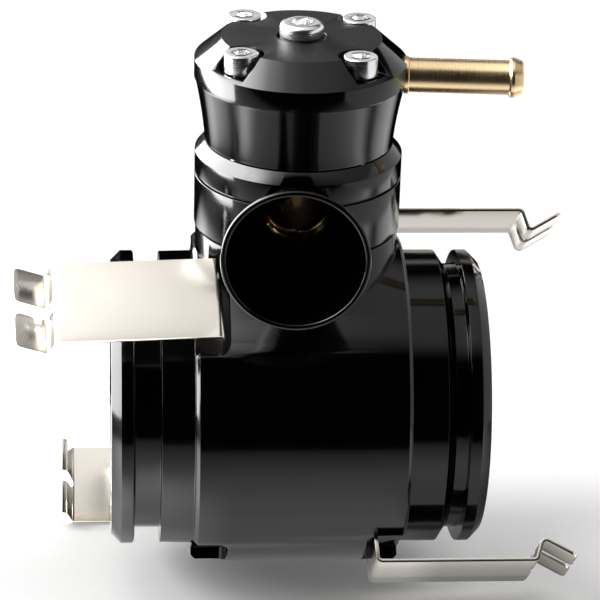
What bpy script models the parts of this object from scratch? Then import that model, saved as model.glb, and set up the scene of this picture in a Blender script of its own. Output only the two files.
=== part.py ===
"""A blow off valve standing on an in-line duct adaptor, modelled piece by piece.

The duct runs along X and the valve stands on it along Z, with its outlet trumpet towards -Y.
Heights below are measured from the duct's own axis. The whole model then hangs on one empty that
puts the origin at the bottom centre of the part, where it rests on its two lower clips.
"""
from math import cos, pi, radians, sin, tan

import bmesh
import bpy
from mathutils import Matrix, Vector

mm = 0.001

# Facets round each turned piece. Those on the valve aren't a multiple of 8, which would put a column of
# vertices in line with each head screw.
DUCT_STEPS = 44
VALVE_STEPS = 36
TRUMPET_STEPS = 36
RING_STEPS = 24
SCREW_STEPS = 18
HOLE_SIDES = 16
ROUNDED_SEGMENTS = 5

# Fits, and how far a cutter runs past the piece that it cuts
GAP = 0.3 * mm
THREAD_GAP = 0.3 * mm
REACH = 5.0 * mm

# Duct adaptor, turned about X
PIPE_R = 32.0 * mm
BORE_R = PIPE_R - 5.5 * mm
BARREL_R = PIPE_R + 4.0 * mm
BARREL_LEFT = 22.1 * mm
BARREL_RIGHT = 23.1 * mm
BARREL_CHAMFER = 0.8 * mm
LEFT_RING = 7.0 * mm
LEFT_GROOVE = 5.6 * mm
LEFT_GROOVE_DEPTH = 3.5 * mm
LEFT_FLANGE = 2.8 * mm
RIGHT_RING = 7.9 * mm
RIGHT_RING_CHAMFER = 2.0 * mm
RIGHT_GROOVE = 2.8 * mm
RIGHT_GROOVE_DEPTH = 3.0 * mm
RIGHT_FLANGE = 2.4 * mm
END_CHAMFER = 2.1 * mm
EDGE_BREAK = 0.35 * mm
MOUTH_LEAD = 0.6 * mm

# Valve body
VALVE_TURN = radians(4.3)
VALVE_R = 21.9 * mm
BODY_HEIGHT = 18.65 * mm
STUB_R = VALVE_R - 5.0 * mm
STUB_CHAMFER = 0.5 * mm
STUB_RING_RISE = 1.6 * mm
LINE_HEIGHT = 11.3 * mm
LINE_WIDTH = 0.75 * mm
LINE_DEPTH = 0.6 * mm
SHOULDER_HEIGHT = 2.3 * mm
SHOULDER_IN = 2.0 * mm
PISTON_BORE_R = VALVE_R - 8.9 * mm
SLEEVE_WALL = 1.0 * mm
SEAT_HEIGHT = 0.9 * mm

# Boss for the valve, turned about Z
BOSS_R = VALVE_R - 0.3 * mm
BOSS_TOP = BARREL_R + 5.45 * mm
BOSS_LEDGE = BOSS_TOP - 10.15 * mm
PASSAGE_R = PISTON_BORE_R - 1.0 * mm

# Head
HEAD_HEIGHT = 22.5 * mm
HEAD_R = VALVE_R + 0.35 * mm
BAND_STEP = 0.25 * mm
BAND_LOW = 13.7 * mm
BAND_HIGH = 17.75 * mm
FACE_R = HEAD_R - 5.45 * mm
ROOF = 5.7 * mm
SIGNAL_CHAMBER = 5.5 * mm
FLARE_POINTS = 6
FLARE_CURVE = 1.35

# Trumpet
TRUMPET_REACH = VALVE_R + 22.7 * mm
TRUMPET_LIP_R = 15.05 * mm
TRUMPET_NECK_R = 7.5 * mm
TRUMPET_BORE_R = 6.2 * mm
TRUMPET_SOCKET = VALVE_R - 5.0 * mm
TRUMPET_WALL = 1.3 * mm
TRUMPET_STRAIGHT = 0.4 * mm
TRUMPET_BELL = 0.14
TRUMPET_POINTS = 6

# Piston and spring
PISTON_HEIGHT = 17.05 * mm
PISTON_FLOOR = 3.05 * mm
PISTON_WALL = 2.9 * mm
PISTON_CHAMFER = 0.4 * mm
PISTON_DISH = 1.0 * mm
PISTON_RING_DROP = 1.45 * mm
SPRING_WIRE_R = 0.85 * mm
SPRING_PLAY = 0.8 * mm
SPRING_END_GAP = 0.15 * mm
SPRING_TURNS = 7
SPRING_POINTS = 10

# Spring seat under the head's roof
SEAT_FLANGE = 1.5 * mm
SEAT_BOSS = 4.7 * mm
SEAT_PLAY = 3.6 * mm
SEAT_WEB = 1.2 * mm

# Rings
RING_PISTON_R = 0.6 * mm
RING_HEAD_R = 0.45 * mm
RING_BASE_R = 0.8 * mm
RING_CENTRE_R = 0.6 * mm

# Fasteners
SCREW_CIRCLE_R = VALVE_R - 4.65 * mm
SCREW_HEAD_R = 3.5 * mm
SCREW_HEAD_HEIGHT = 4.0 * mm
SCREW_SHANK_R = 1.75 * mm
SCREW_LENGTH = 28.0 * mm
SCREW_HEX = 3.0 * mm
SCREW_RISE = 0.2 * mm
SCREW_CHAMFER = 0.3 * mm
SCREW_TIP_PLAY = 0.6 * mm
HEX_DEPTH = 2.0 * mm
POCKET_PLAY = 1.1 * mm
CENTRE_HEAD_R = 4.6 * mm
CENTRE_HEAD_HEIGHT = 2.9 * mm
CENTRE_SHANK_R = 2.8 * mm
CENTRE_HEX = 4.0 * mm
CENTRE_ROUND = 1.3 * mm
CENTRE_TIP_PLAY = 0.6 * mm
CENTRE_CHAMFER = 0.4 * mm
RETAINER_ANGLE = radians(40)
RETAINER_R = 1.75 * mm
RETAINER_POINT_R = 1.0 * mm
RETAINER_HEX = 2.0 * mm
RETAINER_DROP = 2.85 * mm
RETAINER_INSET = 0.6 * mm
RETAINER_GROOVE = 1.1 * mm
RETAINER_PLAY = 0.4 * mm

# Hose nipple
NIPPLE_HEIGHT = 14.55 * mm
NIPPLE_R = 3.6 * mm
NIPPLE_BORE_R = 1.6 * mm
NIPPLE_THREAD_R = 2.4 * mm
NIPPLE_TIP = HEAD_R + 24.25 * mm
NIPPLE_BEAD_R = 4.2 * mm
NIPPLE_BEAD = 2.9 * mm
NIPPLE_COLLAR_R = 3.95 * mm
NIPPLE_COLLAR = 0.9 * mm
NIPPLE_LAND = 2.3 * mm
NIPPLE_LEAD = 0.5 * mm

# Spring clips. The one at the front left sits askew in its pocket, and the one below it sits further in.
CLIP_ANGLE = radians(55)
CLIP_RIGHT_FRONT_ANGLE = radians(-49.5)
CLIP_PATTERN_TURN = radians(2)
CLIP_SKEW = radians(2.3)
CLIP_LEFT_REAR_SLIDE = -2.8 * mm
CLIP_SHEET = 0.75 * mm
CLIP_WIDTH = 19.3 * mm
CLIP_RADIUS = BARREL_R + 3.6 * mm
CLIP_STRAP_INSET = 5.1 * mm
CLIP_OVERHANG = 11.6 * mm
CLIP_FOOT_LEAN = 0.5 * mm
CLIP_LEG_DEPTH = 4.8 * mm
CLIP_LEG_RUN = 1.5 * mm
CLIP_FINGER_RUN = 7.2 * mm
CLIP_FINGER_RISE = 4.1 * mm
CLIP_SLOT = 2.8 * mm
CLIP_SLOT_START = 0.4 * mm
CLIP_SLOT_END_R = 1.2 * mm
CLIP_BEND_R = 1.0 * mm
CLIP_BEND_POINTS = 3
CLIP_POCKET_BITE = 0.1 * mm
CLIP_POCKET_SIDE = 0.9 * mm
CLIP_POCKET_BACK = 1.7 * mm
CLIP_POCKET_CORNER_R = 2.6 * mm

# Heights and lengths that follow from the sizes above
LEFT_END = BARREL_LEFT + LEFT_RING + LEFT_GROOVE + LEFT_FLANGE + END_CHAMFER
RIGHT_END = BARREL_RIGHT + RIGHT_RING + RIGHT_RING_CHAMFER + RIGHT_GROOVE + RIGHT_FLANGE + END_CHAMFER
STUB_BOTTOM = BOSS_LEDGE + GAP
BODY_Z = BOSS_TOP + GAP
BODY_TOP = BODY_Z + BODY_HEIGHT
HEAD_Z = BODY_TOP + GAP
HEAD_TOP = HEAD_Z + HEAD_HEIGHT
ROOF_Z = HEAD_TOP - ROOF
CHAMBER_Z = ROOF_Z - SIGNAL_CHAMBER
SLEEVE_R = PISTON_BORE_R + SLEEVE_WALL
SLEEVE_TOP = CHAMBER_Z - 2 * GAP - 2 * RING_HEAD_R
SEAT_Z = BODY_Z + SEAT_HEIGHT
WAIST_R = VALVE_R - SHOULDER_IN
TRUMPET_Z = BODY_Z + BODY_HEIGHT / 2
PISTON_R = PISTON_BORE_R - GAP
PISTON_Z = SEAT_Z + GAP
PISTON_TOP = PISTON_Z + PISTON_HEIGHT
PISTON_CUP_R = PISTON_R - PISTON_WALL
PISTON_FLOOR_Z = PISTON_Z + PISTON_FLOOR
SEAT_FLANGE_Z = ROOF_Z - GAP - SEAT_FLANGE
SPRING_R = PISTON_CUP_R - SPRING_PLAY - SPRING_WIRE_R
POCKET_Z = HEAD_TOP + SCREW_RISE - SCREW_HEAD_HEIGHT - GAP
CENTRE_UNDER = HEAD_TOP + SCREW_RISE
CENTRE_SPOT_Z = CENTRE_UNDER - 2 * RING_CENTRE_R - 2 * GAP
RETAINER_Z = BOSS_TOP - RETAINER_DROP
RETAINER_GROOVE_R = STUB_R - RETAINER_GROOVE
NIPPLE_THREAD_END = PISTON_BORE_R + NIPPLE_LAND
NIPPLE_Z = HEAD_Z + NIPPLE_HEIGHT
CLIP_STRAP_IN = BARREL_LEFT - CLIP_STRAP_INSET
CLIP_STRAP_OUT = LEFT_END + CLIP_OVERHANG
CLIP_TIP = CLIP_STRAP_OUT + CLIP_LEG_RUN + CLIP_FINGER_RUN
CLIP_FOOT_IN = CLIP_STRAP_IN - CLIP_FOOT_LEAN
CLIP_POCKET_END = CLIP_FOOT_IN - CLIP_POCKET_BACK
CLIP_POCKET_FLOOR = PIPE_R - CLIP_POCKET_BITE
# The side, angle, skew and slide of each clip, and the side, angle and slide of each pocket
CLIPS = {
    "clip_left_front": (-1, CLIP_ANGLE, CLIP_SKEW, 0),
    "clip_left_rear": (-1, pi + CLIP_ANGLE, 0, CLIP_LEFT_REAR_SLIDE),
    "clip_right_rear": (1, pi - CLIP_ANGLE, 0, 0),
    "clip_right_front": (1, CLIP_RIGHT_FRONT_ANGLE, 0, 0),
}
CLIP_POCKETS = {
    "left_upper_front": (-1, CLIP_ANGLE, 0),
    "left_lower_front": (-1, -CLIP_ANGLE, 0),
    "left_upper_rear": (-1, pi - CLIP_ANGLE, 0),
    "left_lower_rear": (-1, pi + CLIP_ANGLE, CLIP_LEFT_REAR_SLIDE),
    "right_upper_rear": (1, pi - CLIP_ANGLE, 0),
    "right_lower_front": (1, CLIP_RIGHT_FRONT_ANGLE, 0),
}

# Place of the duct's axis above the part's bottom centre
LOWEST_CLIP = pi + CLIP_ANGLE + CLIP_PATTERN_TURN
CLIP_DROP = abs((CLIP_RADIUS + CLIP_SHEET / 2) * sin(LOWEST_CLIP)) + abs(CLIP_WIDTH / 2 * cos(LOWEST_CLIP))
AXIS_Z = max(CLIP_DROP, BARREL_R)
FRONT = TRUMPET_REACH * cos(VALVE_TURN) + TRUMPET_LIP_R * sin(VALVE_TURN)
AXIS_Y = (FRONT - BARREL_R) / 2
SKEW_REACH = CLIP_WIDTH / 2 * sin(CLIP_SKEW) - (CLIP_TIP - CLIP_STRAP_IN) * (1 - cos(CLIP_SKEW))
AXIS_X = SKEW_REACH / 2


def new_collection(name):
    """Returns an empty collection of that name, linked to the scene."""
    found = bpy.data.collections.get(name)
    if found is None:
        found = bpy.data.collections.new(name)
        bpy.context.scene.collection.children.link(found)
    return found


def finish(name, rgb, roughness, metallic):
    """Returns a Principled material."""
    material = bpy.data.materials.get(name) or bpy.data.materials.new(name)
    material.use_nodes = True
    shader = material.node_tree.nodes["Principled BSDF"]
    shader.inputs["Base Color"].default_value = (*rgb, 1.0)
    shader.inputs["Roughness"].default_value = roughness
    shader.inputs["Metallic"].default_value = metallic
    return material


def add_object(name, mesh, material=None, parent=None, location=(0, 0, 0), rotation=(0, 0, 0)):
    """Adds a piece, or a cutter when it has no material."""
    obj = bpy.data.objects.new(name, mesh)
    if material:
        mesh.materials.append(material)
        PARTS.objects.link(obj)
    else:
        CUTTERS.objects.link(obj)
        obj.hide_render = True
        obj.display_type = "WIRE"
    obj.parent = parent
    obj.location = location
    obj.rotation_euler = rotation
    return obj


def add_frame(name, parent=None, location=(0, 0, 0), rotation=(0, 0, 0)):
    """Adds an empty that carries pieces."""
    frame = bpy.data.objects.new(name, None)
    PARTS.objects.link(frame)
    frame.parent = parent
    frame.location = location
    frame.rotation_euler = rotation
    return frame


def turned(name, profile, steps, closed=True, **place):
    """Turns a profile of (radius, height) points about the local Z axis.

    The profile runs down its outer side. A closed one makes a ring, an open one starts and ends on the axis.
    """
    mesh = bpy.data.meshes.new(name)
    count = len(profile)
    edges = [(i, i + 1) for i in range(count - 1)]
    if closed:
        edges.append((count - 1, 0))
    mesh.from_pydata([(r, 0, z) for r, z in profile], edges, [])
    obj = add_object(name, mesh, **place)
    screw = obj.modifiers.new("turn", "SCREW")
    screw.steps = steps
    screw.render_steps = steps
    screw.use_merge_vertices = True
    screw.merge_threshold = 0.00001
    screw.use_smooth_shade = True
    return obj


def block(name, size, centre, rounded=None, **place):
    """Makes a box. A radius in rounded rounds its two upright edges on the low X side."""
    bm = bmesh.new()
    bmesh.ops.create_cube(bm, size=1.0)
    bmesh.ops.scale(bm, vec=size, verts=bm.verts)
    bmesh.ops.translate(bm, vec=centre, verts=bm.verts)
    if rounded:
        upright = []
        for edge in bm.edges:
            first, second = (v.co for v in edge.verts)
            if abs(first.z - second.z) > size[2] / 2 and first.x < centre[0]:
                upright.append(edge)
        bmesh.ops.bevel(bm, geom=upright, offset=rounded, segments=ROUNDED_SEGMENTS, profile=0.5, affect="EDGES")
    mesh = bpy.data.meshes.new(name)
    bm.to_mesh(mesh)
    bm.free()
    return add_object(name, mesh, **place)


def prism(name, sides, radius, low, high, **place):
    """Makes an upright prism or cylinder between two heights."""
    bm = bmesh.new()
    bmesh.ops.create_cone(
        bm, cap_ends=True, segments=sides, radius1=radius, radius2=radius, depth=high - low
    )
    bmesh.ops.translate(bm, vec=(0, 0, (low + high) / 2), verts=bm.verts)
    mesh = bpy.data.meshes.new(name)
    bm.to_mesh(mesh)
    bm.free()
    return add_object(name, mesh, **place)


def combine(obj, other, operation="DIFFERENCE"):
    """Cuts a piece by a cutter, or joins the cutter's solid to it."""
    boolean = obj.modifiers.new(other.name, "BOOLEAN")
    boolean.object = other
    boolean.operation = operation
    boolean.solver = "EXACT"


def arc(centre_r, centre_z, radius, start, end, count):
    """Points on an arc in a profile, angles in degrees from +R towards +Z."""
    angles = [radians(start + (end - start) * i / count) for i in range(count + 1)]
    return [(centre_r + radius * cos(a), centre_z + radius * sin(a)) for a in angles]


def ring(name, major, minor, height, parent):
    """Makes a sealing ring about the local Z axis, six-sided in section."""
    profile = arc(major, height, minor, 90, -210, 5)
    return turned(name, profile, RING_STEPS, material=RUBBER, parent=parent)


def hexagon(across_flats):
    """Returns the radius to the corners of a hexagon."""
    return across_flats / 2 / cos(pi / 6)


for old in list(bpy.data.objects):
    bpy.data.objects.remove(old, do_unlink=True)
PARTS = new_collection("blow_off_valve")
CUTTERS = new_collection("cutters")

BLACK = finish("black_anodise", (0.012, 0.012, 0.014), 0.22, 0.6)
TRUMPET_BLACK = finish("trumpet_anodise", (0.012, 0.012, 0.014), 0.25, 0.6)
GREY = finish("grey_anodise", (0.07, 0.07, 0.075), 0.3, 0.8)
BRASS = finish("brass", (0.78, 0.55, 0.27), 0.25, 1.0)
NIPPLE_BRASS = finish("nipple_brass", (0.78, 0.6, 0.36), 0.2, 1.0)
CLIP_STEEL = finish("clip_steel", (0.66, 0.63, 0.58), 0.3, 1.0)
SCREW_STEEL = finish("screw_steel", (0.8, 0.8, 0.8), 0.2, 1.0)
SPRING_WIRE = finish("spring_wire", (0.5, 0.5, 0.5), 0.35, 1.0)
RUBBER = finish("rubber", (0.01, 0.01, 0.01), 0.6, 0.0)

BASE = add_frame("part_frame", location=(AXIS_X, AXIS_Y, AXIS_Z))
DUCT = add_frame("duct_frame", BASE, rotation=(0, pi / 2, 0))
VALVE = add_frame("valve_frame", BASE, rotation=(0, 0, -VALVE_TURN))


def place_on_duct(obj, side, angle, skew=0, slide=0):
    """Puts a piece, made with X along the duct and Z away from it, round the duct at an angle above -Y.

    A skew turns the piece about the middle of the clip's inner end, and a slide moves it outwards.
    """
    obj.parent = BASE
    turn = Matrix.Rotation(pi / 2 - angle - CLIP_PATTERN_TURN, 4, "X")
    if side < 0:
        turn = turn @ Matrix.Rotation(pi, 4, "Z")
    hinge = Matrix.Translation((CLIP_STRAP_IN + slide, 0, 0))
    obj.matrix_basis = turn @ hinge @ Matrix.Rotation(skew, 4, "Z") @ Matrix.Translation((-CLIP_STRAP_IN, 0, 0))


def adaptor_outline():
    """Outer profile of the duct from its right end to its left end."""
    right_floor = PIPE_R - RIGHT_GROOVE_DEPTH
    left_floor = PIPE_R - LEFT_GROOVE_DEPTH
    x = RIGHT_END
    points = [(0, x), (PIPE_R - END_CHAMFER, x)]
    x -= END_CHAMFER
    points.append((PIPE_R, x))
    x -= RIGHT_FLANGE
    points += [(PIPE_R, x), (right_floor, x)]
    x -= RIGHT_GROOVE
    points.append((right_floor, x))
    x -= RIGHT_RING_CHAMFER
    points += [(PIPE_R, x), (PIPE_R, BARREL_RIGHT)]
    points.append((BARREL_R - BARREL_CHAMFER, BARREL_RIGHT))
    points.append((BARREL_R, BARREL_RIGHT - BARREL_CHAMFER))
    points.append((BARREL_R, -BARREL_LEFT + BARREL_CHAMFER))
    points.append((BARREL_R - BARREL_CHAMFER, -BARREL_LEFT))
    points.append((PIPE_R, -BARREL_LEFT))
    x = -BARREL_LEFT - LEFT_RING
    points += [(PIPE_R - EDGE_BREAK / 2, x), (left_floor, x)]
    x -= LEFT_GROOVE
    points += [(left_floor, x), (PIPE_R - EDGE_BREAK, x), (PIPE_R, x - EDGE_BREAK)]
    x -= LEFT_FLANGE
    points += [(PIPE_R, x), (PIPE_R - END_CHAMFER, x - END_CHAMFER), (0, x - END_CHAMFER)]
    return points


def make_adaptor():
    """The duct with its boss, bore, clip pockets and the threads for the valve's retaining screws."""
    adaptor = turned("adaptor_body", adaptor_outline(), DUCT_STEPS, closed=False, material=BLACK, parent=DUCT)
    boss = prism("boss", VALVE_STEPS, BOSS_R, BORE_R / 2, BOSS_TOP, parent=BASE)
    combine(adaptor, boss, "UNION")
    flared = BORE_R + MOUTH_LEAD + REACH
    bore = [
        (0, RIGHT_END + REACH), (flared, RIGHT_END + REACH), (BORE_R, RIGHT_END - MOUTH_LEAD),
        (BORE_R, -LEFT_END + MOUTH_LEAD), (flared, -LEFT_END - REACH), (0, -LEFT_END - REACH),
    ]
    combine(adaptor, turned("duct_bore", bore, DUCT_STEPS, closed=False, parent=DUCT))
    socket_r = STUB_R + GAP
    seat = [
        (0, BOSS_TOP + REACH), (socket_r + MOUTH_LEAD + REACH, BOSS_TOP + REACH),
        (socket_r, BOSS_TOP - MOUTH_LEAD), (socket_r, BOSS_LEDGE),
        (PASSAGE_R, BOSS_LEDGE), (PASSAGE_R, 0), (0, 0),
    ]
    combine(adaptor, turned("valve_seat", seat, VALVE_STEPS, closed=False, parent=BASE))
    width = CLIP_WIDTH + 2 * CLIP_POCKET_SIDE
    for name, (side, angle, slide) in CLIP_POCKETS.items():
        edge = BARREL_LEFT if side < 0 else BARREL_RIGHT
        length = edge + REACH - CLIP_POCKET_END
        pocket = block(
            f"clip_pocket_{name}", (length, width, BARREL_R),
            (CLIP_POCKET_END + length / 2, 0, CLIP_POCKET_FLOOR + BARREL_R / 2),
            rounded=CLIP_POCKET_CORNER_R,
        )
        place_on_duct(pocket, side, angle, slide=slide)
        combine(adaptor, pocket)
    for name, angle in RETAINERS.items():
        hole = prism(
            f"{name}_thread", HOLE_SIDES, RETAINER_R + THREAD_GAP, STUB_R - RETAINER_GROOVE, BOSS_R + REACH,
            parent=RETAINER_FRAMES[name],
        )
        combine(adaptor, hole)
    return adaptor


def make_clip(name, side, angle, skew, slide):
    """A spring clip: foot, strap, leg and two fingers, bent from one strip."""
    drop = CLIP_RADIUS - CLIP_POCKET_FLOOR - GAP
    corners = [
        (CLIP_FOOT_IN, -drop),
        (CLIP_STRAP_IN, 0),
        (CLIP_STRAP_OUT, 0),
        (CLIP_STRAP_OUT + CLIP_LEG_RUN, -CLIP_LEG_DEPTH),
        (CLIP_TIP, -CLIP_LEG_DEPTH + CLIP_FINGER_RISE),
    ]
    path = bent(corners, CLIP_BEND_R, CLIP_BEND_POINTS)
    bm = bmesh.new()
    verts = [bm.verts.new((x, -CLIP_WIDTH / 2, CLIP_RADIUS + z)) for x, z in path]
    edges = [bm.edges.new(pair) for pair in zip(verts, verts[1:])]
    swept = bmesh.ops.extrude_edge_only(bm, edges=edges)["geom"]
    moved = [v for v in swept if isinstance(v, bmesh.types.BMVert)]
    bmesh.ops.translate(bm, vec=(0, CLIP_WIDTH, 0), verts=moved)
    mesh = bpy.data.meshes.new(name)
    bm.to_mesh(mesh)
    bm.free()
    clip = add_object(name, mesh, material=CLIP_STEEL)
    place_on_duct(clip, side, angle, skew, slide)
    sheet = clip.modifiers.new("sheet", "SOLIDIFY")
    sheet.thickness = CLIP_SHEET
    sheet.offset = 0
    sheet.use_even_offset = True
    sheet.use_quality_normals = True
    start = CLIP_STRAP_OUT - CLIP_SLOT_START
    length = CLIP_TIP + REACH - start
    slot = block(
        f"{name}_slot", (length, CLIP_SLOT, 6 * CLIP_LEG_DEPTH), (start + length / 2, 0, CLIP_RADIUS),
        rounded=CLIP_SLOT_END_R,
    )
    place_on_duct(slot, side, angle, skew, slide)
    combine(clip, slot)
    return clip


def bent(corners, radius, count):
    """Rounds the inner corners of an open outline with arcs."""
    points = [corners[0]]
    for before, here, after in zip(corners, corners[1:], corners[2:]):
        p = Vector(here)
        into = (Vector(before) - p).normalized()
        out = (Vector(after) - p).normalized()
        half = into.angle(out) / 2
        back = radius / tan(half)
        centre = p + (into + out).normalized() * radius / sin(half)
        start = p + into * back - centre
        sweep = start.angle_signed(p + out * back - centre)
        for i in range(count + 1):
            a = -sweep * i / count
            turned_x = start.x * cos(a) - start.y * sin(a)
            turned_y = start.x * sin(a) + start.y * cos(a)
            points.append((centre.x + turned_x, centre.y + turned_y))
    points.append(corners[-1])
    return points


def make_retainer(name):
    """A dog-point set screw that holds the valve's stub in the boss."""
    outer = BOSS_R - RETAINER_INSET
    point = RETAINER_GROOVE_R + GAP
    shoulder = STUB_R + 2 * GAP
    profile = [
        (0, outer), (RETAINER_R - EDGE_BREAK, outer), (RETAINER_R, outer - EDGE_BREAK),
        (RETAINER_R, shoulder), (RETAINER_POINT_R, shoulder), (RETAINER_POINT_R, point), (0, point),
    ]
    frame = RETAINER_FRAMES[name]
    screw = turned(name, profile, SCREW_STEPS, closed=False, material=SCREW_STEEL, parent=frame)
    key = prism(f"{name}_hex", 6, hexagon(RETAINER_HEX), outer - HEX_DEPTH, outer + REACH, parent=frame)
    combine(screw, key)
    return screw


def body_profile():
    """Outer side of the valve body from the sleeve's top down to the stub, then up the inside."""
    line_low = BODY_Z + LINE_HEIGHT
    line_high = line_low + LINE_WIDTH
    slope = LINE_DEPTH / 4
    ring_low = STUB_BOTTOM + STUB_RING_RISE
    ring_high = ring_low + 2 * (RING_BASE_R + GAP)
    ring_floor = STUB_R - 2 * RING_BASE_R - GAP
    dog_low = RETAINER_Z - RETAINER_POINT_R - RETAINER_PLAY
    dog_high = RETAINER_Z + RETAINER_POINT_R + RETAINER_PLAY
    return [
        (SLEEVE_R, SLEEVE_TOP), (SLEEVE_R, BODY_TOP), (WAIST_R, BODY_TOP),
        (VALVE_R, BODY_TOP - SHOULDER_HEIGHT), (VALVE_R, line_high),
        (VALVE_R - LINE_DEPTH, line_high - slope), (VALVE_R - LINE_DEPTH, line_low + slope),
        (VALVE_R, line_low), (VALVE_R, BODY_Z + EDGE_BREAK), (VALVE_R - EDGE_BREAK, BODY_Z),
        (STUB_R, BODY_Z), (STUB_R, dog_high), (RETAINER_GROOVE_R, dog_high),
        (RETAINER_GROOVE_R, dog_low), (STUB_R, dog_low),
        (STUB_R, ring_high), (ring_floor, ring_high), (ring_floor, ring_low), (STUB_R, ring_low),
        (STUB_R, STUB_BOTTOM + STUB_CHAMFER), (STUB_R - STUB_CHAMFER, STUB_BOTTOM),
        (PASSAGE_R, STUB_BOTTOM), (PASSAGE_R, SEAT_Z), (PISTON_BORE_R, SEAT_Z), (PISTON_BORE_R, SLEEVE_TOP),
    ]


def make_valve_body():
    """The body: stub, piston bore and sleeve, with the port and socket for the trumpet."""
    body = turned("valve_body", body_profile(), VALVE_STEPS, material=GREY, parent=VALVE)
    socket_r = TRUMPET_NECK_R + THREAD_GAP
    port = [
        (0, VALVE_R + REACH), (socket_r, VALVE_R + REACH), (socket_r, TRUMPET_SOCKET),
        (TRUMPET_BORE_R, TRUMPET_SOCKET), (TRUMPET_BORE_R, PISTON_BORE_R / 2), (0, PISTON_BORE_R / 2),
    ]
    combine(body, turned("trumpet_port", port, TRUMPET_STEPS, closed=False, parent=TRUMPET_FRAME))
    low = POCKET_Z + GAP - SCREW_LENGTH - SCREW_TIP_PLAY
    high = BODY_TOP + REACH
    for name, frame in SCREW_FRAMES.items():
        combine(body, prism(f"{name}_thread", HOLE_SIDES, SCREW_SHANK_R + THREAD_GAP, low, high, parent=frame))
    return body


def head_profile():
    """Outer side of the head from its face down, then up the inside."""
    spread = HEAD_R - BAND_STEP - WAIST_R
    height = BAND_LOW - BAND_STEP
    flare = []
    for i in range(FLARE_POINTS + 1):
        t = 1 - i / FLARE_POINTS
        flare.append((WAIST_R + spread * t ** FLARE_CURVE, HEAD_Z + height * t))
    return [
        (FACE_R, HEAD_TOP), (HEAD_R, HEAD_Z + BAND_HIGH), (HEAD_R, HEAD_Z + BAND_LOW), *flare,
        (SLEEVE_R + GAP, HEAD_Z), (SLEEVE_R + GAP, CHAMBER_Z), (PISTON_BORE_R, CHAMBER_Z),
        (PISTON_BORE_R, ROOF_Z), (CENTRE_SHANK_R + GAP, ROOF_Z), (CENTRE_SHANK_R + GAP, CENTRE_SPOT_Z),
        (CENTRE_HEAD_R + 2 * GAP, CENTRE_SPOT_Z), (CENTRE_HEAD_R + 2 * GAP, HEAD_TOP),
    ]


def make_head():
    """The head: spring chamber, four screw pockets open to the side, and the nipple's seat."""
    head = turned("head", head_profile(), VALVE_STEPS, material=GREY, parent=VALVE)
    pocket_r = SCREW_HEAD_R + POCKET_PLAY
    pocket_out = HEAD_R - SCREW_CIRCLE_R + REACH
    pocket_top = HEAD_TOP + REACH
    hole_top = HEAD_TOP + REACH / 2
    hole_low = HEAD_Z - REACH
    for name, frame in SCREW_FRAMES.items():
        combine(head, prism(f"{name}_hole", HOLE_SIDES, SCREW_SHANK_R + GAP, hole_low, hole_top, parent=frame))
        pocket = block(
            f"{name}_pocket", (pocket_out + pocket_r, 2 * pocket_r, pocket_top - POCKET_Z),
            ((pocket_out - pocket_r) / 2, 0, (pocket_top + POCKET_Z) / 2),
            rounded=0.96 * pocket_r, parent=frame,
        )
        combine(head, pocket)
    spot = HEAD_R - NIPPLE_COLLAR
    nipple_seat = [
        (0, HEAD_R + REACH), (NIPPLE_COLLAR_R + GAP, HEAD_R + REACH), (NIPPLE_COLLAR_R + GAP, spot),
        (NIPPLE_THREAD_R + THREAD_GAP, spot), (NIPPLE_THREAD_R + THREAD_GAP, NIPPLE_THREAD_END),
        (NIPPLE_BORE_R, NIPPLE_THREAD_END), (NIPPLE_BORE_R, PISTON_BORE_R / 2), (0, PISTON_BORE_R / 2),
    ]
    combine(head, turned("nipple_seat", nipple_seat, SCREW_STEPS, closed=False, parent=NIPPLE_FRAME))
    return head


def make_trumpet():
    """The outlet trumpet, screwed into the body, from its mouth inwards."""
    flare = TRUMPET_REACH - VALVE_R
    lip = TRUMPET_WALL / 2
    outer = []
    inner = []
    for i in range(TRUMPET_POINTS + 1):
        t = 1 - i / TRUMPET_POINTS
        run = VALVE_R + TRUMPET_STRAIGHT + (flare - lip - TRUMPET_STRAIGHT) * t
        spread = (1 - TRUMPET_BELL) * t + TRUMPET_BELL * t ** 3
        outer.append((TRUMPET_NECK_R + (TRUMPET_LIP_R - TRUMPET_NECK_R) * spread, run))
        inner.append((TRUMPET_BORE_R + (TRUMPET_LIP_R - TRUMPET_WALL - TRUMPET_BORE_R) * spread, run))
    inner.reverse()
    tail = TRUMPET_SOCKET + GAP
    rounded = arc(TRUMPET_LIP_R - lip, TRUMPET_REACH - lip, lip, 180, 0, 4)
    profile = rounded[1:-1] + outer + [(TRUMPET_NECK_R, tail), (TRUMPET_BORE_R, tail)] + inner
    return turned("trumpet", profile, TRUMPET_STEPS, material=TRUMPET_BLACK, parent=TRUMPET_FRAME)


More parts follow.
